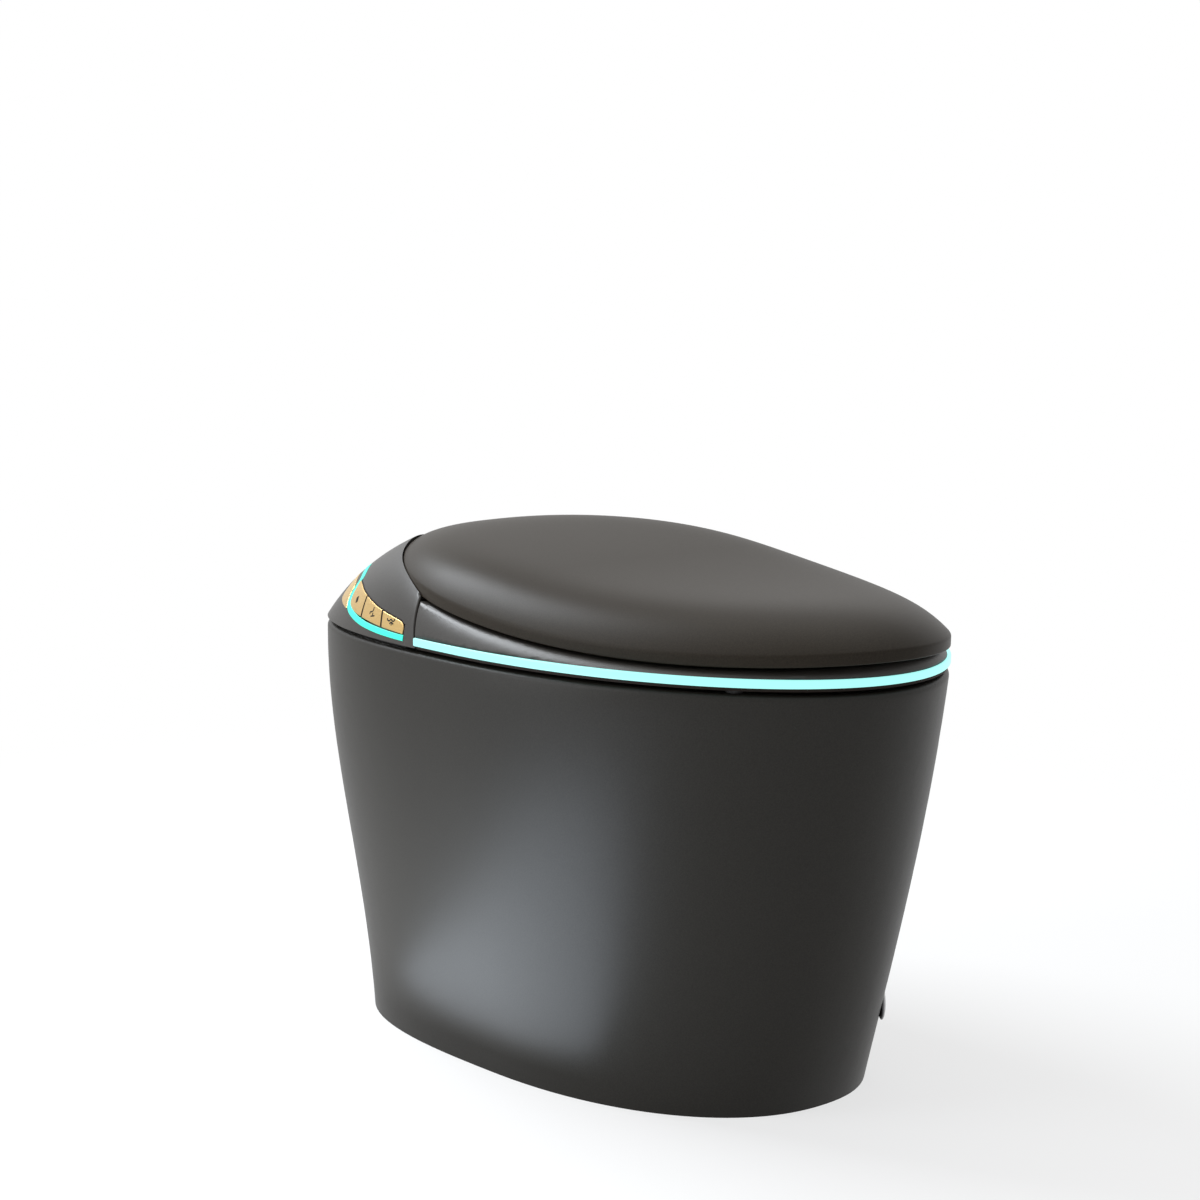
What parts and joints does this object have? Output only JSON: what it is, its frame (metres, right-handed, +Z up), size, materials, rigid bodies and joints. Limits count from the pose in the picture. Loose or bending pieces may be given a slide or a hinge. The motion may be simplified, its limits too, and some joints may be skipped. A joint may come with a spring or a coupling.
{
  "type": "smart toilet",
  "caption": "Egg-shaped floor-standing smart toilet with a domed powered lid, heated seat with light strip, side keys, wash nozzle, dryer and flush tank in the skirt.",
  "frame": {"origin": "on the floor, under the middle of the object's box", "axes": "+Z up, -Y out of the front of the bowl, +Y to the wall, -X the seated user's right with the keys"},
  "size_m": [0.4236, 0.678, 0.4873],
  "materials": {
    "glaze": "satin glaze",
    "shell_grey": "satin",
    "gold": "satin brushed",
    "dark_bezel": "satin",
    "seat_glow": "frosted",
    "panel_glow": "frosted",
    "rubber": "matt",
    "steel": "brushed",
    "black_plastic": "matt",
    "white_plastic": "matt",
    "liner_grey": "matt",
    "board_green": "matt",
    "foil": "bright",
    "lens": "gloss"
  },
  "bodies": {
    "base": {"ceramic_body": "glaze", "rear_housing": "shell_grey", "panel_trim": "gold", "key_bezel": "dark_bezel", "panel_light": "panel_glow", "outlet_seal": "rubber", "deck_gasket": "rubber", "power_gland": "rubber", "flush_hose": "rubber", "key_membrane": "rubber", "wash_hoses": "rubber", "base_bolts": "steel", "housing_screws": "steel", "lid_pins": "steel", "seat_pins": "steel", "lid_drive": "black_plastic", "seat_dampers": "black_plastic", "nozzle_motor": "black_plastic", "dryer_motor": "black_plastic", "dryer_blower": "black_plastic", "dryer_duct": "black_plastic", "board_case": "black_plastic", "valve_block": "black_plastic", "flush_tank": "white_plastic", "flush_pump": "white_plastic", "fill_valve": "white_plastic", "base_plate": "white_plastic", "nozzle_guide": "white_plastic", "water_heater": "white_plastic", "deodor_cartridge": "white_plastic", "key_board": "board_green", "main_board": "board_green", "foot_sensor_board": "board_green", "foot_sensor_lens": "lens"},
    "lid": {"lid_shell": "shell_grey", "lid_liner": "liner_grey", "lid_bumpers": "rubber"},
    "seat": {"seat_shell": "shell_grey", "seat_base": "dark_bezel", "seat_light": "seat_glow", "seat_heater": "foil", "seat_bumpers": "rubber"},
    "front_wash_key": {"key_front_wash": "gold"},
    "rear_wash_key": {"key_rear_wash": "gold"},
    "stop_key": {"key_stop": "gold"},
    "nozzle": {"wash_nozzle": "steel"},
    "drive_wheel": {"nozzle_wheel": "black_plastic"},
    "flap": {"dryer_flap": "white_plastic"},
    "fan": {"dryer_impeller": "black_plastic"}
  },
  "joints": [
    {"name": "lid_hinge", "type": "hinge", "parent": "base", "child": "lid", "pos_m": [0, 0.228, 0.475], "axis": [-1, 0, 0], "range_deg": [0, 95]},
    {"name": "seat_hinge", "type": "hinge", "parent": "base", "child": "seat", "pos_m": [0, 0.176, 0.44], "axis": [-1, 0, 0], "range_deg": [0, 90.25]},
    {"name": "front_wash_press", "type": "slide", "parent": "base", "child": "front_wash_key", "axis": [0.8847, -0.1939, -0.4239], "range_m": [0, 0.001], "stiffness_N_per_m": 600, "springref_m": -0.0008},
    {"name": "rear_wash_press", "type": "slide", "parent": "base", "child": "rear_wash_key", "axis": [0.8847, -0.1939, -0.4239], "range_m": [0, 0.001], "stiffness_N_per_m": 600, "springref_m": -0.0008},
    {"name": "stop_press", "type": "slide", "parent": "base", "child": "stop_key", "axis": [0.8847, -0.1939, -0.4239], "range_m": [0, 0.001], "stiffness_N_per_m": 600, "springref_m": -0.0008},
    {"name": "nozzle_slide", "type": "slide", "parent": "base", "child": "nozzle", "axis": [0, -0.9272, -0.3746], "range_m": [0, 0.078]},
    {"name": "wheel_spin", "type": "hinge", "parent": "base", "child": "drive_wheel", "pos_m": [0, 0.13026, 0.4122], "axis": [1, 0, 0], "continuous": true},
    {"name": "flap_hinge", "type": "hinge", "parent": "base", "child": "flap", "pos_m": [0.029, 0.10548, 0.39507], "axis": [-1, 0, 0], "range_deg": [0, 60], "stiffness_Nm_per_rad": 0.0006, "springref_deg": -8.59},
    {"name": "fan_spin", "type": "hinge", "parent": "base", "child": "fan", "pos_m": [0.106, 0.226, 0.41], "axis": [0, 0, 1], "continuous": true}
  ],
  "couplings": [
    {"joint": "seat_hinge", "follows": "lid_hinge", "ratio": 0.95},
    {"joint": "wheel_spin", "follows": "nozzle_slide", "rad_per_m": -166.67}
  ]
}
